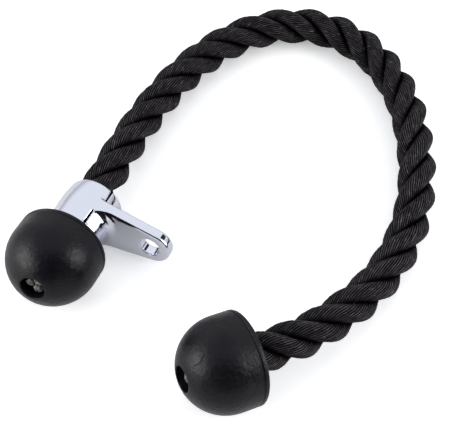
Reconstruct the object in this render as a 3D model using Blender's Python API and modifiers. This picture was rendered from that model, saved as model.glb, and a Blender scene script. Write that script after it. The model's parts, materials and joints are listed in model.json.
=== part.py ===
"""Triceps rope attachment: a thick rope with a rubber stopper on each end and a chromed clasp round it.

Metres, +Z up, and the floor is z = 0. The rope lies in an open loop with both stoppers at the near side.
Each stopper rests on the rim of its flat back, so its pole is tipped up. The clasp has slid to the left end.
"""
import math

import bmesh
import bpy
import numpy as np
from mathutils import Matrix, Vector

# Shared values
TOUCH_GAP = 0.0003          # air between two pieces that touch
CUT_OVERRUN = 0.002         # how far a cutter reaches past what it cuts
TURNED_STEPS = 40
MERGE_DISTANCE = 0.00001
SMOOTH_ANGLE = math.radians(35)

# Rope
ROPE_RADIUS = 0.0132
ROPE_TIP_RADIUS = 0.0072    # the sealed end is drawn in
ROPE_TIP_LENGTH = 0.0047    # of the drawn-in end inside the pole hole
ROPE_TAPER = 0.0070         # length over which it is drawn in, behind the pole hole
ROPE_LEAD_OUT = 0.0040      # straight rope outside the back of a stopper
ROPE_STEP_IN_DIAMETERS = 2
ROPE_BEVEL_RESOLUTION = 4
ROUTE_SAMPLES = 16          # for each span of the route, when its length is measured
ROPE_ROUTE = [              # centre line of the free rope, from the left stopper to the right one
    (-0.0341, 0.0666, 0.0224),
    (-0.0219, 0.1001, 0.0181),
    (-0.0085, 0.1334, 0.0151),
    (0.0080, 0.1656, 0.0137),
    (0.0292, 0.1956, 0.0134),
    (0.0556, 0.2208, 0.0134),
    (0.0882, 0.2370, 0.0134),
    (0.1235, 0.2381, 0.0134),
    (0.1545, 0.2212, 0.0134),
    (0.1754, 0.1912, 0.0134),
    (0.1856, 0.1561, 0.0134),
    (0.1878, 0.1193, 0.0134),
    (0.1842, 0.0824, 0.0135),
    (0.1733, 0.0475, 0.0143),
    (0.1551, 0.0164, 0.0161),
    (0.1301, -0.0096, 0.0190),
    (0.1007, -0.0306, 0.0233),
]

# Stopper: a half ball with a short straight skirt behind it
STOPPER_RADIUS = 0.0300
STOPPER_SKIRT = 0.0138      # from the ball's centre to the flat back
STOPPER_RIM_ROUND = 0.0018
STOPPER_SHOULDER = 0.0108   # from the flat back to the inner shoulder
STOPPER_NECK_IN = 0.0065    # length of the cone between the cavity and the pole hole
POLE_HOLE_RADIUS = 0.0082
POLE_HOLE_ROUND = 0.0008
BORE_CLEARANCE = 0.0004     # between the rope and the stopper's bore
CAVITY_CLEARANCE = 0.0004   # between the washer and the cavity
CAVITY_END_CLEARANCE = 0.0018   # between the ferrule and the cone
DOME_STEPS = 14
ROUND_STEPS = 4
# Centre on the floor plan, direction of the pole and its tilt, for each end
STOPPER_PLACES = {
    "left": ((-0.0517, 0.0209), math.radians(-110.5), math.radians(14.1)),
    "right": ((0.0561, -0.0523), math.radians(-154.0), math.radians(10.6)),
}

# Ferrule and washer that hold the rope's end inside a stopper
FERRULE_WALL = 0.0015
FERRULE_LENGTH = 0.0120
WASHER_THICKNESS = 0.0015
WASHER_WIDTH = 0.0032       # from its bore to its outer edge

# Clasp: a barrel shaped collar with a flat lug and an eye
COLLAR_PLAY = 0.0036        # between the rope and the collar's bore when the rope is in the middle
COLLAR_WALL = 0.0030        # where it is thickest
COLLAR_BORE_RADIUS = ROPE_RADIUS + COLLAR_PLAY
COLLAR_RADIUS = COLLAR_BORE_RADIUS + COLLAR_WALL
COLLAR_LENGTH = 0.0326      # without its reach to the stopper
COLLAR_REACH = 0.0030       # how much farther the collar goes on the stopper's side
COLLAR_ROUND = 0.0012
COLLAR_WIDEST = -0.0010     # where the barrel is widest, from the middle of the length
COLLAR_DROP = 0.0010        # how much smaller its radius is at the drop span from there
COLLAR_DROP_SPAN = 0.0135
COLLAR_DROP_END = 0.0170    # past this the radius stays the same
COLLAR_STEPS = 6
LUG_NEAR = 0.0031           # face towards the stopper, from the middle of the collar's length
LUG_FAR = 0.0047            # face towards the rope
LUG_REACH = 0.0494          # from the collar's axis to the centre of the lug's round end
LUG_END_RADIUS = 0.0127
LUG_EDGE_ROUND = 0.0010
LUG_INSET = 0.0003          # of the lug's root below the collar's outer face
NEAR_FILLET = 0.0065        # from the lug to the collar, on the stopper's side
FAR_FILLET = 0.0010
FILLET_SINK = 0.0001        # of a fillet's ends into the lug's face and the collar
FILLET_STEPS = 5
EYE_RADIUS = 0.0069
EYE_INSET = 0.0015          # of the eye from the centre of the round end
SEAM_WIDTH = 0.0010
SEAM_ANGLE_ROPE_SIDE = math.radians(36.0)     # from the collar's top towards the lug
SEAM_ANGLE_STOPPER_SIDE = math.radians(25.0)
SEAM_START_ROPE_SIDE = 0.0062                 # from the middle of the length
SEAM_START_STOPPER_SIDE = 0.0060
CLASP_PLACE = (-0.0355, 0.0598)
CLASP_AZIMUTH = math.radians(66.6)            # of the collar's axis, away from the stopper
CLASP_TILT = math.radians(-7.9)
CLASP_TURN = math.radians(4.2)                # the lug points this far below the level
LUG_END_STEPS = 24


def remove_everything():
    for obj in list(bpy.data.objects):
        bpy.data.objects.remove(obj, do_unlink=True)


def new_collection(name):
    collection = bpy.data.collections.new(name)
    bpy.context.scene.collection.children.link(collection)
    return collection


def new_material(name, colour, roughness, metallic):
    material = bpy.data.materials.new(name)
    material.use_nodes = True
    shader = material.node_tree.nodes["Principled BSDF"]
    shader.inputs["Base Color"].default_value = (*colour, 1)
    shader.inputs["Roughness"].default_value = roughness
    shader.inputs["Metallic"].default_value = metallic
    return material


def link_new(name, data, collection, parent=None):
    obj = bpy.data.objects.new(name, data)
    collection.objects.link(obj)
    obj.parent = parent
    return obj


def evaluated_mesh(obj):
    """Return the object's shape as a plain mesh, with loose caps welded on."""
    depsgraph = bpy.context.evaluated_depsgraph_get()
    mesh = bpy.data.meshes.new_from_object(obj.evaluated_get(depsgraph))
    shape = bmesh.new()
    shape.from_mesh(mesh)
    bmesh.ops.remove_doubles(shape, verts=shape.verts, dist=MERGE_DISTANCE)
    shape.to_mesh(mesh)
    shape.free()
    return mesh


def settle_shape(obj, material):
    """Turn the modifiers' result into the object's own mesh, smooth except at its hard edges."""
    mesh = evaluated_mesh(obj)
    obj.modifiers.clear()
    obj.data = mesh
    mesh.materials.clear()
    mesh.materials.append(material)
    mesh.shade_smooth()
    mesh.set_sharp_from_angle(angle=SMOOTH_ANGLE)


def arc(centre, radius, start, end, steps):
    """Points on an arc in a plane, from one angle to the other."""
    angles = np.linspace(start, end, steps + 1)
    return [(centre[0] + radius * math.cos(a), centre[1] + radius * math.sin(a)) for a in angles]


def turned(name, profile, collection, parent=None):
    """A profile of (radius, height) points turned about Z, closed unless its ends lie on the axis."""
    mesh = bpy.data.meshes.new(name)
    count = len(profile)
    edges = [(i, i + 1) for i in range(count - 1)]
    if profile[0][0] > 0:
        edges.append((count - 1, 0))
    mesh.from_pydata([(r, 0, z) for r, z in profile], edges, [])
    obj = link_new(name, mesh, collection, parent)
    screw = obj.modifiers.new("turn", "SCREW")
    screw.steps = TURNED_STEPS
    screw.render_steps = TURNED_STEPS
    screw.use_merge_vertices = True
    screw.merge_threshold = MERGE_DISTANCE
    return obj


def flat_outline(name, points, half_thickness, edge_round, collection, parent=None):
    """A closed outline in the XY plane as a plate, centred on Z, with its edges rounded."""
    curve = bpy.data.curves.new(name, "CURVE")
    curve.dimensions = "2D"
    curve.fill_mode = "BOTH"
    curve.extrude = half_thickness - edge_round
    curve.bevel_depth = edge_round
    curve.bevel_resolution = 2
    curve.offset = -edge_round
    spline = curve.splines.new("POLY")
    spline.points.add(len(points) - 1)
    for point, (x, y) in zip(spline.points, points):
        point.co = (x, y, 0, 1)
    spline.use_cyclic_u = True
    guide = link_new(name + "_outline", curve, collection)
    mesh = evaluated_mesh(guide)
    bpy.data.objects.remove(guide, do_unlink=True)
    return link_new(name, mesh, collection, parent)


def hide_tool(obj):
    obj.hide_render = True
    obj.display_type = "WIRE"


def add_boolean(obj, tool, operation):
    hide_tool(tool)
    cut = obj.modifiers.new(tool.name, "BOOLEAN")
    cut.operation = operation
    cut.solver = "EXACT"
    cut.object = tool


def cylinder_tool(name, radius, length, place, collection, parent):
    mesh = bpy.data.meshes.new(name)
    shape = bmesh.new()
    bmesh.ops.create_cone(
        shape, cap_ends=True, segments=TURNED_STEPS, radius1=radius, radius2=radius, depth=length)
    shape.to_mesh(mesh)
    shape.free()
    obj = link_new(name, mesh, collection, parent)
    obj.location = place
    return obj


# Stoppers and what they hold

def stopper_axis(side):
    """Return the matrix of a stopper: origin at the ball's centre, +Z out through the pole."""
    (x, y), azimuth, tilt = STOPPER_PLACES[side]
    corner_down = (STOPPER_SKIRT - STOPPER_RIM_ROUND) * math.sin(tilt)
    corner_down += (STOPPER_RADIUS - STOPPER_RIM_ROUND) * math.cos(tilt)
    height = corner_down + STOPPER_RIM_ROUND
    turn = Matrix.Rotation(azimuth, 4, "Z") @ Matrix.Rotation(math.pi / 2 - tilt, 4, "Y")
    return Matrix.Translation((x, y, height)) @ turn


def washer_outer_radius():
    return ROPE_RADIUS + TOUCH_GAP + WASHER_WIDTH


def pole_height():
    """Height of the pole hole's mouth above the ball's centre."""
    return math.sqrt(STOPPER_RADIUS ** 2 - POLE_HOLE_RADIUS ** 2)


def shoulder_height():
    return STOPPER_SHOULDER - STOPPER_SKIRT


def ferrule_low():
    """Height of the ferrule's lower end, on the washer that lies on the shoulder."""
    return shoulder_height() + TOUCH_GAP + WASHER_THICKNESS + TOUCH_GAP


def cone_start():
    return ferrule_low() + FERRULE_LENGTH + CAVITY_END_CLEARANCE


def throat_start():
    """Height where the cone above the cavity opens into the pole hole."""
    return cone_start() + STOPPER_NECK_IN


def stopper_profile():
    """From the pole hole's mouth down the outside, across the back and up the inside."""
    mouth = math.asin((POLE_HOLE_RADIUS + POLE_HOLE_ROUND) / STOPPER_RADIUS)
    points = arc((0, 0), STOPPER_RADIUS, math.pi / 2 - mouth, 0, DOME_STEPS)
    rim_centre = (STOPPER_RADIUS - STOPPER_RIM_ROUND, STOPPER_RIM_ROUND - STOPPER_SKIRT)
    points += arc(rim_centre, STOPPER_RIM_ROUND, 0, -math.pi / 2, ROUND_STEPS)
    bore = ROPE_RADIUS + BORE_CLEARANCE
    cavity = washer_outer_radius() + CAVITY_CLEARANCE
    points += [
        (bore, -STOPPER_SKIRT),
        (bore, shoulder_height()),
        (cavity, shoulder_height()),
        (cavity, cone_start()),
        (POLE_HOLE_RADIUS, throat_start()),
        (POLE_HOLE_RADIUS, pole_height() - POLE_HOLE_ROUND),
    ]
    return points


def ring_profile(inner, outer, low, high):
    return [(outer, high), (outer, low), (inner, low), (inner, high)]


def build_end(side, collection, materials):
    axis = link_new(f"stopper_{side}_axis", None, collection)
    axis.matrix_world = stopper_axis(side)
    stopper = turned(f"stopper_{side}", stopper_profile(), collection, axis)
    inner = ROPE_RADIUS + TOUCH_GAP
    washer_low = shoulder_height() + TOUCH_GAP
    washer_shape = ring_profile(inner, washer_outer_radius(), washer_low, washer_low + WASHER_THICKNESS)
    washer = turned(f"washer_{side}", washer_shape, collection, axis)
    low = ferrule_low()
    ferrule_shape = ring_profile(inner, inner + FERRULE_WALL, low, low + FERRULE_LENGTH)
    ferrule = turned(f"ferrule_{side}", ferrule_shape, collection, axis)
    bpy.context.view_layer.update()
    settle_shape(stopper, materials["rubber"])
    settle_shape(washer, materials["steel"])
    settle_shape(ferrule, materials["steel"])


# Rope

def end_stations():
    """Places along a stopper's axis, from the rope's tip to where it leaves straight, with radii."""
    return [
        (throat_start() + ROPE_TIP_LENGTH, ROPE_TIP_RADIUS),
        (throat_start(), ROPE_TIP_RADIUS),
        (throat_start() - ROPE_TAPER, ROPE_RADIUS),
        (-STOPPER_SKIRT - ROPE_LEAD_OUT, ROPE_RADIUS),
    ]


def smooth_route(points, first_slope, last_slope, step):
    """Points at even steps on one smooth curve through the route, ends included."""
    knots = np.array(points)
    spans = np.linalg.norm(np.diff(knots, axis=0), axis=1)
    count = len(knots)
    system = np.zeros((count, count))
    wanted = np.zeros((count, 3))
    system[0, 0] = 1
    system[-1, -1] = 1
    wanted[0] = first_slope
    wanted[-1] = last_slope
    for i in range(1, count - 1):
        before, after = spans[i - 1], spans[i]
        system[i, i - 1:i + 2] = after, 2 * (before + after), before
        back = after * (knots[i] - knots[i - 1]) / before
        ahead = before * (knots[i + 1] - knots[i]) / after
        wanted[i] = 3 * (back + ahead)
    slopes = np.linalg.solve(system, wanted)
    fine = []
    for i, span in enumerate(spans):
        for t in np.linspace(0, 1, ROUTE_SAMPLES, endpoint=False):
            blend = (1 + 2 * t) * (1 - t) ** 2, t * (1 - t) ** 2, t * t * (3 - 2 * t), t * t * (t - 1)
            fine.append(
                blend[0] * knots[i] + blend[1] * span * slopes[i]
                + blend[2] * knots[i + 1] + blend[3] * span * slopes[i + 1])
    fine.append(knots[-1])
    fine = np.array(fine)
    lengths = np.concatenate([[0], np.cumsum(np.linalg.norm(np.diff(fine, axis=0), axis=1))])
    wanted_lengths = np.linspace(0, lengths[-1], round(lengths[-1] / step) + 1)
    return np.stack([np.interp(wanted_lengths, lengths, fine[:, axis]) for axis in range(3)], axis=1)


def rope_points():
    """Centre line points of the whole rope with the radius at each."""
    left, right = stopper_axis("left"), stopper_axis("right")
    left_end = [(left @ Vector((0, 0, z)), radius) for z, radius in end_stations()]
    right_end = [(right @ Vector((0, 0, z)), radius) for z, radius in end_stations()]
    out_of_left = -left.col[2].to_3d()
    into_right = right.col[2].to_3d()
    route = [left_end[-1][0]] + [Vector(point) for point in ROPE_ROUTE] + [right_end[-1][0]]
    step = ROPE_STEP_IN_DIAMETERS * 2 * ROPE_RADIUS
    free = smooth_route([tuple(point) for point in route], out_of_left, into_right, step)
    middle = [(Vector(point), ROPE_RADIUS) for point in free[1:-1]]
    return left_end + middle + right_end[::-1]


def build_rope(collection, material):
    points = rope_points()
    curve = bpy.data.curves.new("rope", "CURVE")
    curve.dimensions = "3D"
    curve.bevel_depth = ROPE_RADIUS
    curve.bevel_resolution = ROPE_BEVEL_RESOLUTION
    curve.use_fill_caps = True
    spline = curve.splines.new("POLY")
    spline.points.add(len(points) - 1)
    for point, (place, radius) in zip(spline.points, points):
        point.co = (*place, 1)
        point.radius = radius / ROPE_RADIUS
    curve.materials.append(material)
    link_new("rope", curve, collection)


# Clasp: local X runs out along the lug, Y up through the collar's top, Z along the axis to the stopper

def clasp_axis():
    """Return the matrix of the clasp. The cylinder round its barrel clears the floor by the touching gap."""
    low_edge = (COLLAR_RADIUS - COLLAR_ROUND) * math.cos(CLASP_TILT)
    low_edge += (COLLAR_LENGTH / 2 - COLLAR_ROUND) * abs(math.sin(CLASP_TILT))
    height = low_edge + COLLAR_ROUND + TOUCH_GAP
    turn = Matrix.Rotation(CLASP_AZIMUTH - math.pi / 2, 4, "Z")
    turn = turn @ Matrix.Rotation(math.pi / 2 + CLASP_TILT, 4, "X")
    turn = turn @ Matrix.Rotation(-CLASP_TURN, 4, "Z")
    return Matrix.Translation((*CLASP_PLACE, height)) @ turn


def collar_surface(height):
    """Radius of the barrel at that height along the collar's axis."""
    away = min(abs(height - COLLAR_WIDEST), COLLAR_DROP_END) / COLLAR_DROP_SPAN
    return COLLAR_RADIUS - COLLAR_DROP * away ** 2


def collar_profile():
    """Half the outline of the collar before it is bored, from the middle of one end to the other's."""
    high = COLLAR_LENGTH / 2 + COLLAR_REACH
    low = -COLLAR_LENGTH / 2
    heights = np.linspace(high - COLLAR_ROUND, low + COLLAR_ROUND, COLLAR_STEPS + 1)
    first = (collar_surface(heights[0]) - COLLAR_ROUND, heights[0])
    last = (collar_surface(heights[-1]) - COLLAR_ROUND, heights[-1])
    points = [(0, high)]
    points += arc(first, COLLAR_ROUND, math.pi / 2, 0, ROUND_STEPS)
    points += [(collar_surface(height), height) for height in heights[1:-1]]
    points += arc(last, COLLAR_ROUND, 0, -math.pi / 2, ROUND_STEPS)
    return points + [(0, low)]


def lug_outline(inset):
    """Straight edges that leave the collar's round and meet the round end, closed by a chord inside."""
    root = COLLAR_RADIUS - inset
    end = LUG_END_RADIUS + LUG_INSET - inset
    top = math.pi / 2 - math.asin((root - end) / LUG_REACH)
    points = [(root * math.cos(top), -root * math.sin(top))]
    points += arc((LUG_REACH, 0), end, -top, top, LUG_END_STEPS)
    points.append((root * math.cos(top), root * math.sin(top)))
    return points


def build_lug(collection, parent):
    thickness = LUG_NEAR + LUG_FAR
    lug = flat_outline("clasp_lug_tool", lug_outline(LUG_INSET), thickness / 2, LUG_EDGE_ROUND, collection, parent)
    lug.location = (0, 0, (LUG_NEAR - LUG_FAR) / 2)
    return lug


def fillet_profile():
    """Both fillets between the lug and the collar, turned about the collar's axis as one ring."""
    near_face = LUG_NEAR - FILLET_SINK
    far_face = FILLET_SINK - LUG_FAR
    near_top = near_face + NEAR_FILLET
    far_top = far_face - FAR_FILLET
    inside = COLLAR_BORE_RADIUS - CUT_OVERRUN
    near_centre = (collar_surface(near_top) + NEAR_FILLET - FILLET_SINK, near_top)
    far_centre = (collar_surface(far_top) + FAR_FILLET - FILLET_SINK, far_top)
    points = arc(far_centre, FAR_FILLET, math.pi / 2, math.pi, FILLET_STEPS)
    points += [(inside, far_top), (inside, near_top)]
    return points + arc(near_centre, NEAR_FILLET, math.pi, 3 * math.pi / 2, FILLET_STEPS)


def build_root(collection, parent):
    """The lug's root, with its outline and as deep as the fillets."""
    root = flat_outline("clasp_root_tool", lug_outline(2 * LUG_INSET), COLLAR_LENGTH / 2, 0, collection, parent)
    fillets = turned("clasp_fillet_tool", fillet_profile(), collection, parent)
    add_boolean(root, fillets, "INTERSECT")
    return root


def build_seam_tool(name, angle, start, end, collection, parent):
    """A thin slab along the collar's axis, between two heights."""
    low = COLLAR_BORE_RADIUS - CUT_OVERRUN
    high = COLLAR_RADIUS + CUT_OVERRUN
    mesh = bpy.data.meshes.new(name)
    shape = bmesh.new()
    bmesh.ops.create_cube(shape, size=1)
    bmesh.ops.scale(shape, verts=shape.verts, vec=(SEAM_WIDTH, high - low, abs(end - start)))
    bmesh.ops.translate(shape, verts=shape.verts, vec=(0, (high + low) / 2, (start + end) / 2))
    shape.to_mesh(mesh)
    shape.free()
    tool = link_new(name, mesh, collection, parent)
    tool.rotation_euler = (0, 0, -angle)
    return tool


def build_clasp(collection, tools, material):
    axis = link_new("clasp_axis", None, collection)
    axis.matrix_world = clasp_axis()
    clasp = turned("clasp", collar_profile(), collection, axis)
    low_end = -COLLAR_LENGTH / 2 - CUT_OVERRUN
    high_end = COLLAR_LENGTH / 2 + COLLAR_REACH + CUT_OVERRUN
    bore_place = (0, 0, (low_end + high_end) / 2)
    bore = cylinder_tool("clasp_bore_tool", COLLAR_BORE_RADIUS, high_end - low_end, bore_place, tools, axis)
    eye_place = (LUG_REACH - EYE_INSET, 0, (LUG_NEAR - LUG_FAR) / 2)
    eye_length = LUG_NEAR + LUG_FAR + CUT_OVERRUN
    eye = cylinder_tool("clasp_eye_tool", EYE_RADIUS, eye_length, eye_place, tools, axis)
    add_boolean(clasp, build_lug(tools, axis), "UNION")
    add_boolean(clasp, build_root(tools, axis), "UNION")
    add_boolean(clasp, bore, "DIFFERENCE")
    add_boolean(clasp, eye, "DIFFERENCE")
    seams = (("clasp_seam_stopper_tool", SEAM_ANGLE_STOPPER_SIDE, SEAM_START_STOPPER_SIDE, high_end),
             ("clasp_seam_rope_tool", SEAM_ANGLE_ROPE_SIDE, -SEAM_START_ROPE_SIDE, low_end))
    for name, angle, start, end in seams:
        add_boolean(clasp, build_seam_tool(name, angle, start, end, tools, axis), "DIFFERENCE")
    bpy.context.view_layer.update()
    settle_shape(clasp, material)


def main():
    remove_everything()
    collection = new_collection("triceps_rope_attachment")
    tools = new_collection("cutters")
    materials = {
        "rope": new_material("black laid rope", (0.012, 0.012, 0.013), 0.75, 0),
        "rubber": new_material("black moulded rubber", (0.016, 0.016, 0.018), 0.45, 0),
        "steel": new_material("zinc plated steel", (0.45, 0.45, 0.46), 0.40, 1),
        "chrome": new_material("chrome plate", (0.75, 0.76, 0.80), 0.08, 1),
    }
    build_rope(collection, materials["rope"])
    for side in STOPPER_PLACES:
        build_end(side, collection, materials)
    build_clasp(collection, tools, materials["chrome"])


main()
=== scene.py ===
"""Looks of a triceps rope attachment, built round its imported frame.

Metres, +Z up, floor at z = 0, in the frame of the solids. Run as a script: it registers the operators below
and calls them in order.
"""

import json
import math

import bpy
import numpy as np
from bpy.props import FloatProperty, FloatVectorProperty, IntProperty, PointerProperty
from mathutils import Matrix, Vector


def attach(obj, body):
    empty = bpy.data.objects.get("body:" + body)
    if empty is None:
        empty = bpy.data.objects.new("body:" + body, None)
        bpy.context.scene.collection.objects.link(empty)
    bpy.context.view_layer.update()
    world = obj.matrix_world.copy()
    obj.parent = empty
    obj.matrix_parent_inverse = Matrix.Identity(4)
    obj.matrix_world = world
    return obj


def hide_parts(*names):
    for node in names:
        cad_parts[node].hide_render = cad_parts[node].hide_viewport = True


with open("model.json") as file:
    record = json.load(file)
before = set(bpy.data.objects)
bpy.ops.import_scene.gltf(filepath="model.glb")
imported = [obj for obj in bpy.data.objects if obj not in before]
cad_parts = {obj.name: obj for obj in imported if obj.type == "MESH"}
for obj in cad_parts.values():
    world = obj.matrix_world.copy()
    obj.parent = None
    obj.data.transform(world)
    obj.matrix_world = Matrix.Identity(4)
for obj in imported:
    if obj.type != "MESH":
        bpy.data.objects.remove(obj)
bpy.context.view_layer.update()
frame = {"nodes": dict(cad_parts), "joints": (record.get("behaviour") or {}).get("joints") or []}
JOINTS = {joint["name"]: joint for joint in frame["joints"]}

bl_info = {
    "name": "Triceps rope attachment",
    "version": (1, 0, 0),
    "blender": (4, 5, 0),
    "location": "View3D > Sidebar > Triceps rope",
    "description": "Adds the rope, stoppers and clasp of a triceps rope, with a plain studio",
    "category": "Add Mesh",
}

MM = 0.001
UP = Vector((0, 0, 1))

# The rope's way from the left stopper to the right one, in metres
ROUTE = [
    (-0.0341, 0.0666, 0.0224),
    (-0.0219, 0.1001, 0.0181),
    (-0.0085, 0.1334, 0.0151),
    (0.0080, 0.1656, 0.0137),
    (0.0292, 0.1956, 0.0134),
    (0.0556, 0.2208, 0.0134),
    (0.0882, 0.2370, 0.0134),
    (0.1235, 0.2381, 0.0134),
    (0.1545, 0.2212, 0.0134),
    (0.1754, 0.1912, 0.0134),
    (0.1856, 0.1561, 0.0134),
    (0.1878, 0.1193, 0.0134),
    (0.1842, 0.0824, 0.0135),
    (0.1733, 0.0475, 0.0143),
    (0.1551, 0.0164, 0.0161),
    (0.1301, -0.0096, 0.0190),
    (0.1007, -0.0306, 0.0233),
]
# Turns of the strands for each metre of rope, at these distances from the left stopper
LAY_PLACES = (0.0, 0.1, 0.2, 0.25, 0.3, 0.35, 0.4, 0.5, 0.6, 0.65)
LAY_TURNS = (12.0, 12.7, 14.5, 13.5, 13.9, 14.3, 13.3, 12.7, 14.3, 15.8)
LAY_START = math.radians(-309)

# Along a stopper's axis, from the centre of its ball, pole side positive
BACK = -0.0138
LEAD_OUT = 0.0040
ROPE_PART = -0.0098         # where the free rope ends inside a stopper and the sealed end begins
SHOULDER = -0.0030
CONE_START = 0.0129
THROAT_START = 0.0194
TIP = 0.0256
TIP_RADIUS = 0.0072


def linear(colour):
    """Linear red, green and blue of an sRGB hex colour."""
    channels = [int(colour[i:i + 2], 16) / 255 for i in (1, 3, 5)]
    return tuple(c / 12.92 if c <= 0.04045 else ((c + 0.055) / 1.055) ** 2.4 for c in channels)


def colour_setting(name, description, colour):
    return FloatVectorProperty(
        name=name, description=description, subtype="COLOR", size=3, min=0, max=1, default=linear(colour))


def length_setting(name, description, value):
    return FloatProperty(name=name, description=description, unit="LENGTH", default=value, precision=5)


class TricepsRopeSettings(bpy.types.PropertyGroup):
    """Sizes and colours of the rope."""
    radius: length_setting("Radius", "Half the rope's thickness, over its strands", 0.0132)
    strand_radius: length_setting("Strand radius", "Radius of one strand's round outside", 0.0069)
    yarn_depth: length_setting("Yarn depth", "Depth of the grooves between yarns", 0.00055)
    ring_step: length_setting("Ring step", "Length of rope between two rings of the mesh", 0.0030)
    yarns: IntProperty(name="Yarns", description="Yarns seen round one strand", default=28, min=6)
    # Painted shade in the folds and painted light on the yarns' backs run between these two colours
    yarn_dark: colour_setting("Yarn shade", "Colour in the folds of the yarn", "#040304")
    yarn_light: colour_setting("Yarn light", "Colour on the backs of the yarns", "#3a3439")
    # Colour of the loose fibres, and of the painted glints on the yarns' backs
    fibre_and_glint: colour_setting("Loose fibre", "Colour of the palest filaments", "#8a8480")


class TricepsStopperSettings(bpy.types.PropertyGroup):
    """Sizes and colours of the rubber stoppers."""
    radius: length_setting("Radius", "Radius of the ball", 0.0300)
    hole_radius: length_setting("Hole radius", "Radius of the hole at the pole", 0.0082)
    bore_radius: length_setting("Bore radius", "Radius of the bore for the rope", 0.0136)
    cavity_radius: length_setting("Cavity radius", "Radius of the space for the washer", 0.0171)
    rim_round: length_setting("Rim round", "Radius of the back edge", 0.0018)
    rubber: colour_setting("Rubber", "Colour of the rubber", "#080811")
    bloom: colour_setting("Bloom", "Colour where the rubber is chalky or rubbed", "#161416")


class TricepsClaspSettings(bpy.types.PropertyGroup):
    """Sizes and colours of the clasp."""
    collar_radius: length_setting("Collar radius", "Outer radius of the collar", 0.0198)
    bore_radius: length_setting("Bore radius", "Inner radius of the collar", 0.0168)
    collar_length: length_setting("Collar length", "Length of the collar along the rope", 0.0326)
    lug_near: length_setting("Lug near face", "From the collar's middle to the lug's ball side", 0.0031)
    lug_far: length_setting("Lug far face", "From the collar's middle to the lug's rope side", 0.0047)
    lug_reach: length_setting("Lug reach", "From the collar's axis to the middle of the round end", 0.0494)
    lug_end_radius: length_setting("Lug end radius", "Radius of the lug's round end", 0.0127)
    collar_reach: length_setting("Collar reach", "How much farther the collar reaches to the ball", 0.0030)
    collar_drop: length_setting("Collar drop", "How much thinner the collar is near its ends", 0.0010)
    near_round: length_setting("Near round", "Radius of the fillet on the lug's side to the ball", 0.0065)
    far_round: length_setting("Far round", "Radius of the fillet on the lug's other side", 0.0010)
    edge_round: length_setting("Edge round", "Radius of the collar's outer edges", 0.0016)
    lug_edge: length_setting("Lug edge", "Radius of the lug's edges", 0.0013)
    eye_radius: length_setting("Eye radius", "Radius of the eye", 0.0069)
    seam_width: length_setting("Seam width", "Width of the slits where the collar is closed", 0.0010)
    chrome: colour_setting("Chrome", "Colour of the plating", "#e6e8f2")


class TricepsStageSettings(bpy.types.PropertyGroup):
    """Floor, light and camera."""
    floor: colour_setting("Floor", "Colour of the floor", "#d8d8d8")
    key_power: FloatProperty(name="Key", description="Power of the left box", unit="POWER", default=8.6)
    fill_power: FloatProperty(name="Fill", description="Power of the right box", unit="POWER", default=7.0)
    sky: FloatProperty(name="Sky", description="Brightness of the white room", default=0.97)


# Nodes and materials

WHITE = (1, 1, 1)
MULTIPLY = {"operation": "MULTIPLY"}
SMOOTH = {"interpolation_type": "SMOOTHSTEP"}
COLOURS = {"data_type": "RGBA"}
NYLON_IOR = 1.53
RUBBER_IOR = 1.52


def connect(socket, value):
    """Give a node's input a value, or a link from another node's output."""
    if isinstance(value, bpy.types.NodeSocket):
        socket.id_data.links.new(value, socket)
    else:
        socket.default_value = (*value, 1) if socket.type == "RGBA" else value


def add_node(tree, kind, *inputs, output=None, **settings):
    """Add a node with its settings and inputs, and return its first output or the one that is named.

    Inputs are values or outputs of other nodes, in the node's own order. None leaves an input as it is.
    """
    node = tree.nodes.new("ShaderNode" + kind)
    for name, value in settings.items():
        setattr(node, name, value)
    sockets = [socket for socket in node.inputs if socket.enabled]
    for socket, value in zip(sockets, inputs):
        if value is not None:
            connect(socket, value)
    return next((socket for socket in node.outputs if socket.enabled and output in (None, socket.name)), None)


def new_material(name):
    material = bpy.data.materials.new(name)
    material.use_nodes = True
    return material, material.node_tree


def set_surface(material, surface):
    """Give the inputs of a material's shader, by name, their values and links."""
    shader = material.node_tree.nodes["Principled BSDF"]
    for name, value in surface.items():
        connect(shader.inputs[name], value)
    return material


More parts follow.
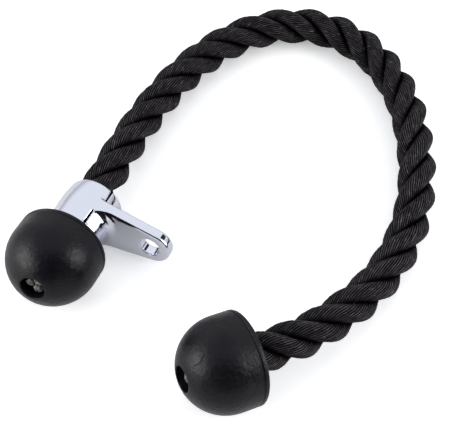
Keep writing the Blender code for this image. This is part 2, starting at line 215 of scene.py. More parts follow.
def black_yarn(settings):
    """Black nylon multifilament, laid in strands: silky, painted light on yarn backs and painted shade in the
    folds.
    """
    material, tree = new_material("black laid nylon")
    yarns = add_node(tree, "UVMap", uv_map="yarns")
    across = add_node(tree, "SeparateXYZ", yarns)
    lengthwise = across.node.outputs["Y"]
    back = add_node(tree, "Math", across, math.pi, **MULTIPLY)
    back = add_node(tree, "Math", add_node(tree, "Math", back, operation="SINE"), operation="ABSOLUTE")
    outward = add_node(tree, "Attribute", output="Fac", attribute_name="outward")
    # Painted glints lie along one yarn and run 3 mm; the real filaments are finer than the render shows
    streak = add_node(tree, "Mapping", yarns, None, None, (1.6, 0.30, 1.0))
    streak = add_node(tree, "TexNoise", streak, 1.0, 3.0, 0.6)
    # Each yarn has its own tone, which drifts over 8 mm along its length
    tone = add_node(
        tree, "CombineXYZ", add_node(tree, "Math", across, operation="FLOOR"),
        add_node(tree, "Math", lengthwise, 0.07, **MULTIPLY))
    tone = add_node(tree, "TexNoise", tone, 1.7, 1.0)
    # Painted shade in the yarns' folds and the grooves between strands, with random tone from streaks
    light = add_node(
        tree, "Math", add_node(tree, "MapRange", back, 0.40, 0.95, **SMOOTH),
        add_node(tree, "MapRange", outward, -0.45, 0.35, **SMOOTH), **MULTIPLY)
    for pattern, least in ((streak, 0.6), (tone, 0.5)):
        pale = add_node(tree, "MapRange", pattern, 0.35, 0.65, least, 1.0, **SMOOTH)
        light = add_node(tree, "Math", light, pale, **MULTIPLY)
    colour = add_node(tree, "Mix", light, settings.yarn_dark, settings.yarn_light, **COLOURS)
    # Painted glints: pale streaks on the lit yarn backs, in the colour of the palest filaments
    painted_glints = add_node(tree, "MapRange", streak, 0.60, 0.72, **SMOOTH)
    painted_glints = add_node(tree, "Math", painted_glints, light, **MULTIPLY)
    height = add_node(tree, "Math", back, add_node(tree, "Math", streak, 0.6, **MULTIPLY), operation="ADD")
    return set_surface(material, {
        "Base Color": add_node(tree, "Mix", painted_glints, colour, settings.fibre_and_glint, **COLOURS),
        "Roughness": add_node(tree, "MapRange", streak, 0.3, 0.7, 0.60, 0.42, **SMOOTH),
        "Specular IOR Level": add_node(tree, "MapRange", light, 0.0, 0.8, 0.02, 0.36, **SMOOTH),
        "IOR": NYLON_IOR,
        "Normal": add_node(tree, "Bump", 0.8, 0.0004, None, height),
    })


def sealed_yarn():
    """Nylon melted at the rope's cut ends: grey, glossy and lumpy."""
    material, tree = new_material("melted nylon")
    # Lumps of 1.4 mm
    lumps = add_node(tree, "TexNoise", add_node(tree, "TexCoord", output="Object"), 700.0, 3.0)
    grey = add_node(tree, "MapRange", lumps, 0.35, 0.7, **SMOOTH)
    return set_surface(material, {
        "Base Color": add_node(tree, "Mix", grey, linear("#1c1c1c"), linear("#8a8988"), **COLOURS),
        "Roughness": 0.32,
        "IOR": NYLON_IOR,
        "Normal": add_node(tree, "Bump", 0.8, 0.0006, None, lumps),
    })


def loose_filament(settings):
    """Broken nylon filaments: thin, translucent and pale against the black rope."""
    material, tree = new_material("loose nylon filament")
    # The tone changes over 3 mm
    pale = add_node(tree, "TexNoise", add_node(tree, "TexCoord", output="Object"), 300.0)
    return set_surface(material, {
        "Base Color": add_node(tree, "Mix", pale, linear("#3a3735"), settings.fibre_and_glint, **COLOURS),
        "Roughness": 0.45,
        "IOR": NYLON_IOR,
    })


def moulded_rubber(settings):
    """Black moulded rubber: satin, a little chalky in patches, with fine scuffs from the floor."""
    material, tree = new_material("moulded black rubber")
    place = add_node(tree, "TexCoord", output="Object")
    # Patches of 20 mm, mottles of 2.4 mm and a grain of 0.7 mm
    patches = add_node(tree, "TexNoise", place, 50.0)
    mottles = add_node(tree, "TexNoise", place, 420.0, 3.0, 0.6)
    grain = add_node(tree, "TexNoise", place, 1500.0)
    # Scuffs run a few millimetres and are 0.3 mm wide
    scuffs = add_node(tree, "Mapping", place, None, (0.4, 0.3, 0.9), (1.0, 0.16, 0.5))
    scuffs = add_node(tree, "TexNoise", scuffs, 900.0, 2.0, 0.7)
    scuffs = add_node(tree, "MapRange", scuffs, 0.64, 0.78, **SMOOTH)
    chalk = add_node(
        tree, "Math", add_node(tree, "MapRange", patches, 0.38, 0.62, **SMOOTH),
        add_node(tree, "MapRange", mottles, 0.3, 0.7, 0.6, 1.0, **SMOOTH), **MULTIPLY)
    worn = add_node(tree, "Math", chalk, add_node(tree, "Math", scuffs, 0.8, **MULTIPLY), operation="MAXIMUM")
    # One curved scratch 0.4 mm wide on the right stopper: the part of a ring on one side of its centre
    centre, radius, towards = (0.0381, -0.0571, 0.0552), 0.00712, (0.548, -0.834, 0.070)
    offset = add_node(tree, "VectorMath", place, centre, operation="SUBTRACT")
    side = add_node(tree, "VectorMath", offset, towards, operation="DOT_PRODUCT")
    reach = add_node(tree, "VectorMath", offset, operation="LENGTH")
    away = add_node(tree, "Math", reach, radius, operation="SUBTRACT")
    away = add_node(tree, "Math", away, operation="ABSOLUTE")
    scratch = add_node(
        tree, "Math", add_node(tree, "MapRange", away, 0.00045, 0.00010, **SMOOTH),
        add_node(tree, "MapRange", side, 0.0049, 0.0058, **SMOOTH), **MULTIPLY)
    height = add_node(tree, "Math", add_node(tree, "Math", grain, 0.2, **MULTIPLY), mottles, operation="ADD")
    depth = add_node(tree, "Math", scratch, 0.9, **MULTIPLY)
    height = add_node(tree, "Math", height, depth, operation="SUBTRACT")
    return set_surface(material, {
        "Base Color": add_node(tree, "Mix", worn, settings.rubber, settings.bloom, **COLOURS),
        "Roughness": add_node(tree, "MapRange", mottles, 0.35, 0.68, 0.28, 0.38, **SMOOTH),
        "IOR": RUBBER_IOR,
        "Specular IOR Level": 0.19,
        "Sheen Weight": 0.02,
        "Sheen Roughness": 0.3,
        "Normal": add_node(tree, "Bump", 0.5, 0.0006, None, height),
    })


def bright_chrome(settings):
    """Chrome plate over a polished forging: mirror bright, very slightly uneven, with a faint haze."""
    material, tree = new_material("chrome plate")
    place = add_node(tree, "TexCoord", output="Object")
    # Waves of 6 mm left by the polishing and a haze of 2.4 mm
    waves = add_node(tree, "TexNoise", place, 160.0)
    haze = add_node(tree, "TexNoise", place, 420.0, 4.0, 0.6)
    return set_surface(material, {
        "Base Color": settings.chrome,
        "Metallic": 1.0,
        "Roughness": add_node(tree, "MapRange", haze, 0.35, 0.75, 0.07, 0.16, **SMOOTH),
        "Normal": add_node(tree, "Bump", 0.2, 0.0005, None, waves),
    })


def zinc_steel():
    """Zinc plated steel, as turned and crimped: grey, dull and finely spangled."""
    material, tree = new_material("zinc plated steel")
    # Spangles of 0.9 mm
    spangle = add_node(tree, "TexNoise", add_node(tree, "TexCoord", output="Object"), 1100.0, 3.0)
    return set_surface(material, {
        "Base Color": add_node(tree, "Mix", spangle, linear("#8e9194"), linear("#c4c7ca"), **COLOURS),
        "Metallic": 1.0,
        "Roughness": add_node(tree, "MapRange", spangle, 0.3, 0.7, 0.34, 0.5, **SMOOTH),
        "Normal": add_node(tree, "Bump", 0.3, 0.0001, None, spangle),
    })


# Modelling

def deselect_all():
    bpy.ops.object.select_all(action="DESELECT")


def make_active(obj):
    deselect_all()
    obj.select_set(True)
    bpy.context.view_layer.objects.active = obj


def walk_out(name, points):
    """A new object whose one chain of edges runs through the points."""
    deselect_all()
    bpy.ops.mesh.primitive_plane_add(size=MM)
    obj = bpy.context.object
    obj.name = name
    bpy.ops.object.mode_set(mode="EDIT")
    bpy.ops.mesh.select_all(action="SELECT")
    bpy.ops.mesh.merge(type="CENTER")
    here = Vector((0, 0, 0))
    for i, point in enumerate(points):
        move = Vector(point) - here
        if i == 0:
            bpy.ops.transform.translate(value=move)
        else:
            bpy.ops.mesh.extrude_region_move(TRANSFORM_OT_translate={"value": move})
        here = Vector(point)
    return obj


def close_chain():
    """Join the two loose ends of the chain that is being edited."""
    bpy.ops.mesh.select_all(action="DESELECT")
    bpy.ops.object.mode_set(mode="OBJECT")
    vertices = bpy.context.object.data.vertices
    vertices[0].select = True
    vertices[len(vertices) - 1].select = True
    bpy.ops.object.mode_set(mode="EDIT")
    bpy.ops.mesh.select_mode(type="VERT")
    bpy.ops.mesh.edge_face_add()


def finish_edit():
    bpy.ops.mesh.select_all(action="SELECT")
    bpy.ops.mesh.remove_doubles(threshold=1e-6)
    bpy.ops.mesh.normals_make_consistent(inside=False)
    bpy.ops.object.mode_set(mode="OBJECT")


# Faces round a spun shape
FINE_ROUND = 128
PLAIN_ROUND = 96
SMALL_ROUND = 64


def turn_profile(name, profile, steps):
    """A profile of (radius, height) points spun round Z. It is closed unless its ends are on the axis."""
    obj = walk_out(name, [(r, 0, z) for r, z in profile])
    if profile[0][0] > 0:
        close_chain()
    bpy.ops.mesh.select_all(action="SELECT")
    bpy.ops.mesh.spin(steps=steps, angle=math.tau, center=(0, 0, 0), axis=(0, 0, 1))
    finish_edit()
    return obj


def raise_outline(name, outline, low, high):
    """A closed outline of (x, y) points as a plate between two heights."""
    obj = walk_out(name, [(x, y, low) for x, y in outline])
    bpy.ops.mesh.select_all(action="SELECT")
    bpy.ops.mesh.edge_face_add()
    bpy.ops.mesh.extrude_region_move(TRANSFORM_OT_translate={"value": (0, 0, high - low)})
    finish_edit()
    return obj


def apply_modifier(obj, kind, **settings):
    make_active(obj)
    modifier = obj.modifiers.new(kind.lower(), kind)
    for name, value in settings.items():
        setattr(modifier, name, value)
    bpy.ops.object.modifier_apply(modifier=modifier.name)


def combine(obj, tool, operation):
    apply_modifier(obj, "BOOLEAN", operation=operation, solver="EXACT", object=tool)
    bpy.data.objects.remove(tool, do_unlink=True)


def put_in_place(obj, matrix, material):
    """Move a finished piece to its place, with the place in its mesh."""
    make_active(obj)
    obj.matrix_world = matrix
    bpy.ops.object.transform_apply(location=True, rotation=True, scale=True)
    obj.data.materials.clear()
    obj.data.materials.append(material)


def arc(centre, radius, start, end, steps):
    angles = np.linspace(start, end, steps + 1)
    return [(centre[0] + radius * math.cos(a), centre[1] + radius * math.sin(a)) for a in angles]


def joint_matrix(name, turn=0.0):
    """Frame of a joint: Z along its axis, Y up but for the turn, X level but for the turn."""
    joint = JOINTS[name]
    axis_z = Vector(joint["axis"]).normalized()
    axis_x = UP.cross(axis_z).normalized()
    axis_y = axis_z.cross(axis_x)
    rotation = Matrix((axis_x, axis_y, axis_z)).transposed().to_4x4()
    return Matrix.Translation(joint["pos_m"]) @ rotation @ Matrix.Rotation(-turn, 4, "Z")


# Rope

SPAN_POINTS = 60            # on the smooth line, for each span of the route
STRAND_GAP = 0.00005        # between a strand's flat and the plane that it shares with the next strand
FLAT_SHARPNESS = 12         # how sharply a strand's flats meet its round outside
COLUMNS_PER_YARN = 6        # columns of the mesh
YARN_TWIST = -1.9           # turns of the yarns round their strand, for each turn of the lay
GROOVE_SHAPE = 0.7          # below 1 the grooves between yarns are narrower than their backs
YARN_DRIFT = 0.35           # how deep single yarns sink, as a share of the grooves
DRIFT_RINGS = 12            # rings of the mesh from one such change to the next
ROPE_SEED, END_SEED, FIBRE_SEED = 4, 11, 21

END_RINGS = (12, 9, 14)     # in the straight part, the cone and the throat of a sealed end
END_TWIST = 1.2             # in radians, over the sealed end
END_START = {"left": 0.5, "right": 1.7}
TIP_DOME = 0.0030           # height of the round tips
TIP_FLAT = 0.0025           # square of the tip's smallest radius, as a share of the strand's

FIBRES = 46
FIBRE_RADIUS = 0.00005
FIBRE_SEGMENTS = 5
BARE_RINGS = (22, 12)       # at the rope's two ends, with no loose fibres


def unit_rows(rows):
    return rows / np.linalg.norm(rows, axis=1)[:, None]


def smooth_route(points, first_slope, last_slope):
    """Finely spaced points on one curve of even bend through the route, and their distances along it."""
    knots = np.array(points)
    spans = np.linalg.norm(np.diff(knots, axis=0), axis=1)
    count = len(knots)
    system = np.eye(count)
    wanted = np.zeros((count, 3))
    wanted[0], wanted[-1] = first_slope, last_slope
    for i in range(1, count - 1):
        before, after = spans[i - 1], spans[i]
        system[i, i - 1:i + 2] = after, 2 * (before + after), before
        wanted[i] = 3 * (after * (knots[i] - knots[i - 1]) / before
                         + before * (knots[i + 1] - knots[i]) / after)
    slopes = np.linalg.solve(system, wanted)
    fine = []
    for i, span in enumerate(spans):
        t = np.linspace(0, 1, SPAN_POINTS, endpoint=False)[:, None]
        fine.append((1 + 2 * t) * (1 - t) ** 2 * knots[i] + t * (1 - t) ** 2 * span * slopes[i]
                    + t * t * (3 - 2 * t) * knots[i + 1] + t * t * (t - 1) * span * slopes[i + 1])
    fine = np.vstack([*fine, knots[-1:]])
    distances = np.concatenate([[0], np.cumsum(np.linalg.norm(np.diff(fine, axis=0), axis=1))])
    return fine, distances


def along(line, distances, places):
    return np.stack([np.interp(places, distances, line[:, k]) for k in range(3)], axis=1)


def strand_section(angles, out, radius):
    """How far a strand's skin is from its middle, with flats where it presses on the other two."""
    flat = out * math.sin(math.pi / 3) - STRAND_GAP
    total = radius ** -FLAT_SHARPNESS * np.ones_like(angles)
    for side in (1, -1):
        facing = np.maximum(np.sin(side * angles - math.pi / 3), 1e-6)
        total = total + (flat / facing) ** -FLAT_SHARPNESS
    return total ** (-1 / FLAT_SHARPNESS)


def strand_surfaces(line, twist, out, radius, relief, yarns, seed=ROPE_SEED):
    """Rings of points of three strands laid together. Out, radius and relief have one value for each ring.

    The second result is 1 where a strand faces out of the rope and -1 at the rope's core.
    """
    tangents = unit_rows(np.gradient(line, axis=0))
    sides = unit_rows(np.cross(tangents, UP))
    tops = np.cross(sides, tangents)
    columns = yarns * COLUMNS_PER_YARN
    column = np.arange(columns)
    groove = 1 - np.abs(np.sin(math.pi * column / COLUMNS_PER_YARN)) ** GROOVE_SHAPE
    random = np.random.default_rng(seed)
    surfaces, outward = [], []
    for strand in range(3):
        turn = (twist + strand * math.tau / 3)[:, None]
        angles = math.tau * column / columns + YARN_TWIST * (twist - twist[0])[:, None]
        angles = (angles + math.pi) % math.tau - math.pi
        reach = strand_section(angles, out[:, None], radius[:, None])
        knots = np.linspace(0, len(line) - 1, max(3, len(line) // DRIFT_RINGS))
        drift = random.normal(0, YARN_DRIFT, (len(knots), yarns))
        drift = np.stack([np.interp(np.arange(len(line)), knots, drift[:, k]) for k in range(yarns)], axis=1)
        drift = np.repeat(np.maximum(drift, 0), COLUMNS_PER_YARN, axis=1)
        reach = reach - relief[:, None] * (groove + drift)
        x = out[:, None] + reach * np.cos(angles)
        y = reach * np.sin(angles)
        up_part = (x * np.cos(turn) - y * np.sin(turn))[..., None] * tops[:, None]
        side_part = (x * np.sin(turn) + y * np.cos(turn))[..., None] * sides[:, None]
        surfaces.append(line[:, None] + up_part + side_part)
        outward.append(np.cos(angles).ravel())
    return surfaces, np.concatenate(outward)


def tubes_mesh(name, surfaces, outward, distances):
    """One mesh of several closed tubes, with a UV map of yarns round and millimetres along."""
    vertices, faces, uvs = [], [], []
    for rings in surfaces:
        ring_count, columns = rings.shape[:2]
        start = sum(len(points) for points in vertices)
        vertices.append(rings.reshape(-1, 3))
        i, j = np.meshgrid(np.arange(ring_count - 1), np.arange(columns), indexing="ij")
        following = (j + 1) % columns
        quads = np.stack([i * columns + j, i * columns + following,
                          (i + 1) * columns + following, (i + 1) * columns + j], axis=-1)
        faces += (quads.reshape(-1, 4) + start).tolist()
        left, right = j / COLUMNS_PER_YARN, (j + 1) / COLUMNS_PER_YARN
        low, high = distances[i] / MM, distances[i + 1] / MM
        uvs.append(np.stack([left, low, right, low, right, high, left, high], axis=-1).reshape(-1, 2))
        faces.append((start + np.arange(columns - 1, -1, -1)).tolist())
        faces.append((start + (ring_count - 1) * columns + np.arange(columns)).tolist())
        uvs.append(np.zeros((2 * columns, 2)))
    mesh = bpy.data.meshes.new(name)
    mesh.from_pydata(np.vstack(vertices).tolist(), [], faces)
    layer = mesh.uv_layers.new(name="yarns")
    layer.data.foreach_set("uv", np.vstack(uvs).ravel())
    mesh.attributes.new("outward", "FLOAT", "POINT").data.foreach_set("value", outward)
    mesh.shade_smooth()
    obj = bpy.data.objects.new(name, mesh)
    bpy.context.scene.collection.objects.link(obj)
    return obj


def axis_point(side, height):
    """A point on a stopper's axis, at that height above the centre of its ball."""
    return joint_matrix(f"stopper_{side}_turn") @ Vector((0, 0, height))


def axis_direction(side):
    return joint_matrix(f"stopper_{side}_turn").to_3x3() @ UP


def rope_line(step):
    """The free rope's middle line from inside one stopper to inside the other, with distances and twist."""
    starts = [axis_point("left", BACK - LEAD_OUT), axis_point("right", BACK - LEAD_OUT)]
    route = [tuple(starts[0]), *ROUTE, tuple(starts[1])]
    fine, distances = smooth_route(route, -axis_direction("left"), axis_direction("right"))
    hidden = ROPE_PART - (BACK - LEAD_OUT)
    fine = np.vstack([axis_point("left", ROPE_PART), fine, axis_point("right", ROPE_PART)])
    distances = np.concatenate([[-hidden], distances, [distances[-1] + hidden]])
    count = round((distances[-1] - distances[0]) / step) + 1
    places = np.linspace(distances[0], distances[-1], count)
    rate = np.interp(places, LAY_PLACES, LAY_TURNS) * math.tau
    twist = np.concatenate([[0], np.cumsum((rate[1:] + rate[:-1]) / 2 * np.diff(places))])
    twist += LAY_START - np.interp(0, places, twist)
    return along(fine, distances, places), places, twist


def sealed_end(side, settings, material):
    """The rope's end in a stopper: three strands drawn together and melted to round tips."""
    straight, cone, throat = END_RINGS
    heights = np.concatenate([
        np.linspace(ROPE_PART, CONE_START - 0.0008, straight), np.linspace(CONE_START, THROAT_START, cone),
        np.linspace(THROAT_START, TIP, throat)[1:]])
    line = np.array([axis_point(side, h) for h in heights])
    draw = np.clip((heights - CONE_START) / (THROAT_START - CONE_START), 0, 1)
    draw = draw * draw * (3 - 2 * draw)
    size = settings.radius + draw * (TIP_RADIUS - settings.radius)
    share = settings.strand_radius / settings.radius
    dome = np.clip((heights - (TIP - TIP_DOME)) / TIP_DOME, 0, 1)
    radius = size * share * np.sqrt(np.maximum(1 - dome ** 2, TIP_FLAT))
    out = size * (1 - share)
    relief = settings.yarn_depth * (1 - draw)
    turned = np.linspace(0, END_TWIST, len(heights))
    twist = END_START[side] + (-turned if side == "left" else turned)
    surfaces, outward = strand_surfaces(line, twist, out, radius, relief, settings.yarns, END_SEED)
    piece = tubes_mesh(f"rope_end_{side}", surfaces, outward, heights)
    piece.data.materials.append(material)
    return piece


def loose_fibres(line, settings):
    """Short fibres that stand off the rope, each a thin bent tube."""
    random = np.random.default_rng(FIBRE_SEED)
    curve = bpy.data.curves.new("loose_fibres", "CURVE")
    curve.dimensions = "3D"
    curve.bevel_depth = FIBRE_RADIUS
    curve.bevel_resolution = 1
    tangents = unit_rows(np.gradient(line, axis=0))
    for _ in range(FIBRES):
        i = random.integers(BARE_RINGS[0], len(line) - BARE_RINGS[1])
        side = np.cross(tangents[i], UP)
        side /= np.linalg.norm(side)
        top = np.cross(side, tangents[i])
        angle = random.uniform(-0.55, 1.4) * math.pi / 2
        outward = side * math.cos(angle) * random.choice((-1, 1)) + top * math.sin(angle)
        # Each starts just under the strands' skin and bends over as it goes out
        root = line[i] + outward * settings.radius * 0.86
        lean = tangents[i] * random.uniform(-1, 1)
        lean = lean + np.cross(outward, tangents[i]) * random.uniform(-0.8, 0.8)
        length = random.uniform(0.002, 0.0055)
        spline = curve.splines.new("POLY")
        spline.points.add(FIBRE_SEGMENTS)
        for k, point in enumerate(spline.points):
            t = k / FIBRE_SEGMENTS
            bend = outward * t * (1 - 0.45 * t) * 0.7 + lean * t * t * 0.8
            point.co = (*(root + bend * length + outward * 0.0009), 1)
    obj = bpy.data.objects.new("loose_fibres", curve)
    bpy.context.scene.collection.objects.link(obj)
    make_active(obj)
    bpy.ops.object.convert(target="MESH")
    return bpy.context.object


class TRICEPSROPE_OT_add_rope(bpy.types.Operator):
    """Add the laid rope with its sealed ends and loose fibres"""
    bl_idname = "tricepsrope.add_rope"
    bl_label = "Add rope"

    def execute(self, context):
        settings = context.scene.triceps_rope
        line, places, twist = rope_line(settings.ring_step)
        rings = np.ones(len(line))
        out = settings.radius - settings.strand_radius
        surfaces, outward = strand_surfaces(
            line, twist, rings * out, rings * settings.strand_radius, rings * settings.yarn_depth,
            settings.yarns)
        rope = tubes_mesh("laid_rope", surfaces, outward, places)
        rope.data.materials.append(black_yarn(settings))
        melted = sealed_yarn()
        ends = [sealed_end(side, settings, melted) for side in ("left", "right")]
        fibres = loose_fibres(line, settings)
        fibres.data.materials.append(loose_filament(settings))
        for piece in (rope, *ends, fibres):
            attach(piece, "rope_and_end_fittings")
        for piece in (rope, *ends):
            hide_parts("rope")
        return {"FINISHED"}


# Stoppers

LIP_ROUND = 0.0006          # round of the pole hole's mouth and chamfer of the bore's
LIP_DROP = 0.0001           # of the pole hole's lip below the ball's round
BEAD_HEIGHT = 0.0036        # of the rim bead, from the back to the middle of the groove that sets it off
# Depth and height of the points across that groove
BEAD_GROOVE = ((0.0, 0.0007), (0.0004, 0.00035), (0.00055, 0.0), (0.0004, -0.00035), (0.0, -0.0007))
CREASE_ANGLE = math.radians(35)


def stopper_profile(settings):
    """From the pole hole's mouth down the outside with its rim bead, across the back and up the inside."""
    hole = settings.hole_radius
    start = math.acos((hole + LIP_ROUND) / settings.radius)
    lip_height = settings.radius * math.sin(start) - LIP_DROP
    points = arc((hole + LIP_ROUND, lip_height - LIP_ROUND), LIP_ROUND, math.pi, math.pi / 2, 4)
    points += arc((0, 0), settings.radius, start, 0, 40)[1:]
    points += [(settings.radius - depth, BACK + BEAD_HEIGHT + height) for depth, height in BEAD_GROOVE]
    rim = (settings.radius - settings.rim_round, BACK + settings.rim_round)
    points += arc(rim, settings.rim_round, 0, -math.pi / 2, 8)
    points += [(settings.bore_radius + LIP_ROUND, BACK), (settings.bore_radius, BACK + LIP_ROUND)]
    points += [(settings.bore_radius, SHOULDER), (settings.cavity_radius, SHOULDER)]
    points += [(settings.cavity_radius, CONE_START), (hole, THROAT_START)]
    return points


class TRICEPSROPE_OT_add_stoppers(bpy.types.Operator):
    """Add the two rubber stoppers"""
    bl_idname = "tricepsrope.add_stoppers"
    bl_label = "Add stoppers"

    def execute(self, context):
        settings = context.scene.triceps_stopper
        material = moulded_rubber(settings)
        for side in ("left", "right"):
            stopper = turn_profile(f"rubber_stopper_{side}", stopper_profile(settings), FINE_ROUND)
            bpy.ops.object.shade_smooth_by_angle(angle=CREASE_ANGLE)
            put_in_place(stopper, joint_matrix(f"stopper_{side}_turn"), material)
            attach(stopper, f"stopper_{side}")
            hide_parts(f"stopper_{side}")
        return {"FINISHED"}


# Clasp, modelled with its collar's axis along Z and its lug along X

CLASP_TURN = math.radians(4.2)      # of the lug below the level
BARREL_MIDDLE = -0.0010             # where the collar is thickest, from its middle to the ball
BARREL_REACH = 0.0135               # from there to where its radius is smaller by the collar drop
BARREL_END = 0.0170                 # from there to where it gets no smaller
# The lug and its root are this much inside the outline that they share, so that their sides don't coincide
PLATE_INSET, ROOT_INSET = 0.0002, 0.0004
FILLET_SINK = 0.0001                # of the fillets under the lug's faces, so that they meet it
PAST = 0.002                        # how far cutters and fillings go on past a surface
EYE_INSET = 0.0015                  # of the eye's centre from that of the lug's round end, to the collar
EYE_CHAMFER = 0.0005
# Angle round the collar and start along its axis, of the slits on the ball's side and the rope's side
BALL_SLIT = (math.radians(25), 0.0060)
ROPE_SLIT = (math.radians(36), -0.0055)
SLIT_SPREAD = 0.9                   # half the slit's width at the collar's end, as a share of its width
VOXEL = 0.0004
SMOOTHING = 0.5
FORGED_ROUNDS, CUT_ROUNDS = 24, 4   # rounds of smoothing before and after the eye and the slits are cut


def collar_surface(settings, height):
    """Radius of the barrel shaped collar at that height along its axis."""
    away = min(abs(height - BARREL_MIDDLE), BARREL_END) / BARREL_REACH
    return settings.collar_radius - settings.collar_drop * away ** 2


def lug_outline(settings, inset):
    """Straight edges from the collar's round to the lug's round end, closed by a chord inside the bore."""
    root, end = settings.collar_radius - inset, settings.lug_end_radius - inset
    top = math.pi / 2 - math.asin((root - end) / settings.lug_reach)
    outline = [(root * math.cos(top), -root * math.sin(top))]
    outline += arc((settings.lug_reach, 0), end, -top, top, 40)
    return outline + [(root * math.cos(top), root * math.sin(top))]


def lug_plate(settings):
    """The flat lug with rounded edges."""
    lug = raise_outline("lug", lug_outline(settings, PLATE_INSET), -settings.lug_far, settings.lug_near)
    apply_modifier(
        lug, "BEVEL", width=settings.lug_edge, segments=4, limit_method="ANGLE", angle_limit=math.radians(60))
    return lug


def lug_root(settings):
    """The lug's thick root: the outline of the lug, as deep as its fillets to the collar."""
    half = settings.collar_length / 2
    root = raise_outline("lug_root", lug_outline(settings, ROOT_INSET), -half, half)
    near = (1, settings.lug_near, settings.near_round)
    far = (-1, settings.lug_far, settings.far_round)
    profile = []
    for side, face, radius in (near, far):
        height = side * (face - FILLET_SINK + radius)
        centre = (collar_surface(settings, height) + radius, height)
        bend = arc(centre, radius, -side * math.pi / 2, -side * math.pi, 12)
        inner = (settings.bore_radius - PAST, height)
        profile += [*bend, inner] if side > 0 else [inner, *bend[::-1]]
    combine(root, turn_profile("root_fillet", profile, PLAIN_ROUND), "INTERSECT")
    return root


def eye_cutter(settings):
    """A round hole with a small chamfer at each face, as a spool."""
    near, far, radius = settings.lug_near, -settings.lug_far, settings.eye_radius
    wide = radius + EYE_CHAMFER + PAST
    profile = [(0, far - PAST), (wide, far - PAST), (radius, far + EYE_CHAMFER), (radius, near - EYE_CHAMFER)]
    return turn_profile("eye_cutter", profile + [(wide, near + PAST), (0, near + PAST)], SMALL_ROUND)


def seam_cutter(settings, angle, start, end):
    """A wedge that opens from its start to the collar's end, both heights along the collar's axis."""
    low, high = settings.bore_radius - PAST, settings.collar_radius + PAST
    narrow, wide = settings.seam_width / 2, settings.seam_width * SLIT_SPREAD
    wedge = [(-narrow, -start), (narrow, -start), (wide, -end), (-wide, -end)]
    cutter = raise_outline("seam", wedge, low, high)
    cutter.rotation_euler = (-math.pi / 2, 0, 0)
    bpy.ops.object.transform_apply(location=True, rotation=True, scale=True)
    cutter.rotation_euler = (0, 0, -angle)
    bpy.ops.object.transform_apply(location=True, rotation=True, scale=True)
    return cutter


def collar_ring(settings, rope_end, ball_end):
    """The barrel shaped collar, with round outer edges and small chamfers at its bore."""
    edge, inner = settings.edge_round, settings.bore_radius
    small = edge / 3
    heights = np.linspace(ball_end - edge, rope_end + edge, 15)
    profile = arc((collar_surface(settings, heights[0]) - edge, heights[0]), edge, math.pi / 2, 0, 5)
    profile += [(collar_surface(settings, height), height) for height in heights[1:-1]]
    profile += arc((collar_surface(settings, heights[-1]) - edge, heights[-1]), edge, 0, -math.pi / 2, 5)
    profile += [(inner + small, rope_end), (inner, rope_end + small), (inner, ball_end - small)]
    profile += [(inner + small, ball_end)]
    return turn_profile("chrome_clasp", profile, FINE_ROUND)


class TRICEPSROPE_OT_add_clasp(bpy.types.Operator):
    """Add the chromed clasp"""
    bl_idname = "tricepsrope.add_clasp"
    bl_label = "Add clasp"

    def execute(self, context):
        settings = context.scene.triceps_clasp
        inner, half = settings.bore_radius, settings.collar_length / 2
        rope_end, ball_end = -half, half + settings.collar_reach
        clasp = collar_ring(settings, rope_end, ball_end)
        bore = turn_profile("bore", [(0, -half), (inner, -half), (inner, half), (0, half)], FINE_ROUND)
        lug = lug_plate(settings)
        combine(lug, lug_root(settings), "UNION")
        combine(lug, bore, "DIFFERENCE")
        combine(clasp, lug, "UNION")
        apply_modifier(clasp, "REMESH", mode="VOXEL", voxel_size=VOXEL)
        apply_modifier(clasp, "SMOOTH", factor=SMOOTHING, iterations=FORGED_ROUNDS)
        eye = eye_cutter(settings)
        eye.location = (settings.lug_reach - EYE_INSET, 0, 0)
        combine(clasp, eye, "DIFFERENCE")
        combine(clasp, seam_cutter(settings, *BALL_SLIT, ball_end + MM), "DIFFERENCE")
        combine(clasp, seam_cutter(settings, *ROPE_SLIT, rope_end - MM), "DIFFERENCE")
        apply_modifier(clasp, "REMESH", mode="VOXEL", voxel_size=VOXEL)
        apply_modifier(clasp, "SMOOTH", factor=SMOOTHING, iterations=CUT_ROUNDS)
        bpy.ops.object.shade_smooth()
        put_in_place(clasp, joint_matrix("clasp_swivel", CLASP_TURN), bright_chrome(settings))
        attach(clasp, "clasp")
        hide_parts("clasp")
        return {"FINISHED"}


class TRICEPSROPE_OT_finish_fittings(bpy.types.Operator):
    """Give the crimped ferrules and washers inside the stoppers their plated finish"""
    bl_idname = "tricepsrope.finish_fittings"
    bl_label = "Finish fittings"

    def execute(self, context):
        material = zinc_steel()
        for name in ("ferrule_left", "ferrule_right", "washer_left", "washer_right"):
            node = frame["nodes"][name]
            node.data.materials.clear()
            node.data.materials.append(material)
        return {"FINISHED"}


# Stage

CAMERA_ELEVATION = math.radians(56.07)
CAMERA_DISTANCE = 0.7299
CAMERA_TARGET = Vector((0.05584, 0.06861, 0.0))
CAMERA_LENS = 86.38
SENSOR_WIDTH = 36
FLOOR_SIZE = 12
LIGHT_TARGET = Vector((0.05, 0.06, 0.0))
# Direction, width and height of the soft boxes
RIGHT_BOX = ((0.878, -0.215, 0.428), 0.8, 0.9)
LEFT_BOX = ((-0.887, -0.271, 0.375), 1.2, 0.85)
# Towards the gap between the white wall and the right soft box
DARK_GAP = ((0.819, 0.331, 0.469), (0.754, 0.368, 0.545))
# How much the floor is raised for the camera and for reflections
CAMERA_GLOW = 0.36
GLOSSY_GLOW = 0.06


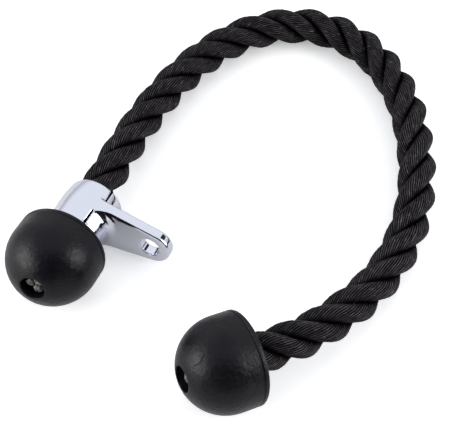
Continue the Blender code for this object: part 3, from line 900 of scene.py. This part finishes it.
def white_room(settings):
    """White overhead and on the far side, dark on the near side and in one gap, plain white to the camera."""
    world = bpy.data.worlds.new("white room")
    bpy.context.scene.world = world
    world.use_nodes = True
    tree = world.node_tree
    tree.nodes.clear()
    direction = add_node(tree, "TexCoord", output="Generated")
    far = add_node(tree, "SeparateXYZ", direction, output="Y")
    up = far.node.outputs["Z"]
    depth = add_node(tree, "Math", far, add_node(tree, "Math", up, 0.5, **MULTIPLY), operation="ADD")
    lit = add_node(
        tree, "Math", add_node(tree, "MapRange", depth, 0.0, 0.2, **SMOOTH),
        add_node(tree, "MapRange", up, 0.0, 0.4, 0.6, 1.0, **SMOOTH), **MULTIPLY)
    for place in DARK_GAP:
        near = add_node(tree, "VectorMath", direction, place, operation="DOT_PRODUCT")
        near = add_node(tree, "MapRange", near, 0.993, 0.986, **SMOOTH)
        lit = add_node(tree, "Math", lit, near, **MULTIPLY)
    tone = add_node(tree, "Mix", lit, linear("#1a1a1d"), linear("#f6f9ff"), **COLOURS)
    room = add_node(tree, "Background", tone, settings.sky)
    plain = add_node(tree, "Background", WHITE, 1.0)
    camera_ray = add_node(tree, "LightPath", output="Is Camera Ray")
    add_node(tree, "OutputWorld", add_node(tree, "MixShader", camera_ray, room, plain))


def white_floor(settings):
    """Matt white sheet, raised to plain white with its shadows for the camera, and a little for plating."""
    material, tree = new_material("white studio floor")
    tree.nodes.remove(tree.nodes["Principled BSDF"])
    camera_ray = add_node(tree, "LightPath", output="Is Camera Ray")
    glossy_ray = camera_ray.node.outputs["Is Glossy Ray"]
    colour = add_node(tree, "Mix", camera_ray, settings.floor, WHITE, **COLOURS)
    raised = add_node(
        tree, "Math", add_node(tree, "Math", camera_ray, CAMERA_GLOW, **MULTIPLY),
        add_node(tree, "Math", glossy_ray, GLOSSY_GLOW, **MULTIPLY), operation="ADD")
    glow = add_node(tree, "Emission", WHITE, raised)
    surface = add_node(tree, "AddShader", add_node(tree, "BsdfDiffuse", colour), glow)
    connect(tree.nodes["Material Output"].inputs["Surface"], surface)
    return material


def soft_box(name, direction, width, height, power):
    """A soft box whose middle half is brighter than its edge, because the lamp sits behind it."""
    direction = Vector(direction).normalized()
    for part, share, distance in (("edge", 1.0, 1.0), ("middle", 0.5, 0.99)):
        light = bpy.data.lights.new(f"{name} {part}", "AREA")
        light.shape = "RECTANGLE"
        light.size = width * share
        light.size_y = height * share
        light.energy = power / 2
        obj = bpy.data.objects.new(light.name, light)
        bpy.context.scene.collection.objects.link(obj)
        obj.location = LIGHT_TARGET + direction * distance
        obj.rotation_euler = direction.to_track_quat("Z", "Y").to_euler()


class TRICEPSROPE_OT_add_stage(bpy.types.Operator):
    """Add the floor, the soft light and the camera"""
    bl_idname = "tricepsrope.add_stage"
    bl_label = "Add stage"

    def execute(self, context):
        settings = context.scene.triceps_stage
        towards_camera = Vector((0, -math.cos(CAMERA_ELEVATION), math.sin(CAMERA_ELEVATION)))
        data = bpy.data.cameras.new("camera")
        data.lens = CAMERA_LENS
        data.sensor_width = SENSOR_WIDTH
        camera = bpy.data.objects.new("camera", data)
        camera.location = CAMERA_TARGET + towards_camera * CAMERA_DISTANCE
        camera.rotation_euler = (math.pi / 2 - CAMERA_ELEVATION, 0, 0)
        context.scene.collection.objects.link(camera)
        context.scene.camera = camera
        white_room(settings)
        soft_box("soft box right", *RIGHT_BOX, settings.fill_power)
        soft_box("soft box left", *LEFT_BOX, settings.key_power)
        deselect_all()
        bpy.ops.mesh.primitive_plane_add(size=FLOOR_SIZE)
        floor = context.object
        floor.name = "studio_floor"
        floor.data.materials.append(white_floor(settings))
        context.scene.view_settings.view_transform = "Standard"
        return {"FINISHED"}


class TRICEPSROPE_PT_panel(bpy.types.Panel):
    """Lists the settings of the triceps rope and the operators that add its pieces"""
    bl_label = "Triceps rope"
    bl_idname = "TRICEPSROPE_PT_panel"
    bl_space_type = "VIEW_3D"
    bl_region_type = "UI"
    bl_category = "Triceps rope"

    def draw(self, context):
        for group in ("triceps_rope", "triceps_stopper", "triceps_clasp", "triceps_stage"):
            box = self.layout.box()
            settings = getattr(context.scene, group)
            for name in settings.__annotations__:
                box.prop(settings, name)
        for operator in OPERATORS:
            self.layout.operator(operator.bl_idname)


SETTINGS = {
    "triceps_rope": TricepsRopeSettings,
    "triceps_stopper": TricepsStopperSettings,
    "triceps_clasp": TricepsClaspSettings,
    "triceps_stage": TricepsStageSettings,
}
OPERATORS = (
    TRICEPSROPE_OT_add_stage,
    TRICEPSROPE_OT_add_rope,
    TRICEPSROPE_OT_add_stoppers,
    TRICEPSROPE_OT_add_clasp,
    TRICEPSROPE_OT_finish_fittings,
)


def register():
    for cls in (*SETTINGS.values(), *OPERATORS, TRICEPSROPE_PT_panel):
        bpy.utils.register_class(cls)
    for name, group in SETTINGS.items():
        setattr(bpy.types.Scene, name, PointerProperty(type=group))


def unregister():
    for name in SETTINGS:
        delattr(bpy.types.Scene, name)
    for cls in (TRICEPSROPE_PT_panel, *reversed(OPERATORS), *reversed(SETTINGS.values())):
        bpy.utils.unregister_class(cls)


def main():
    register()
    bpy.ops.tricepsrope.add_stage()
    bpy.ops.tricepsrope.add_rope()
    bpy.ops.tricepsrope.add_stoppers()
    bpy.ops.tricepsrope.add_clasp()
    bpy.ops.tricepsrope.finish_fittings()


if __name__ == "__main__":
    main()
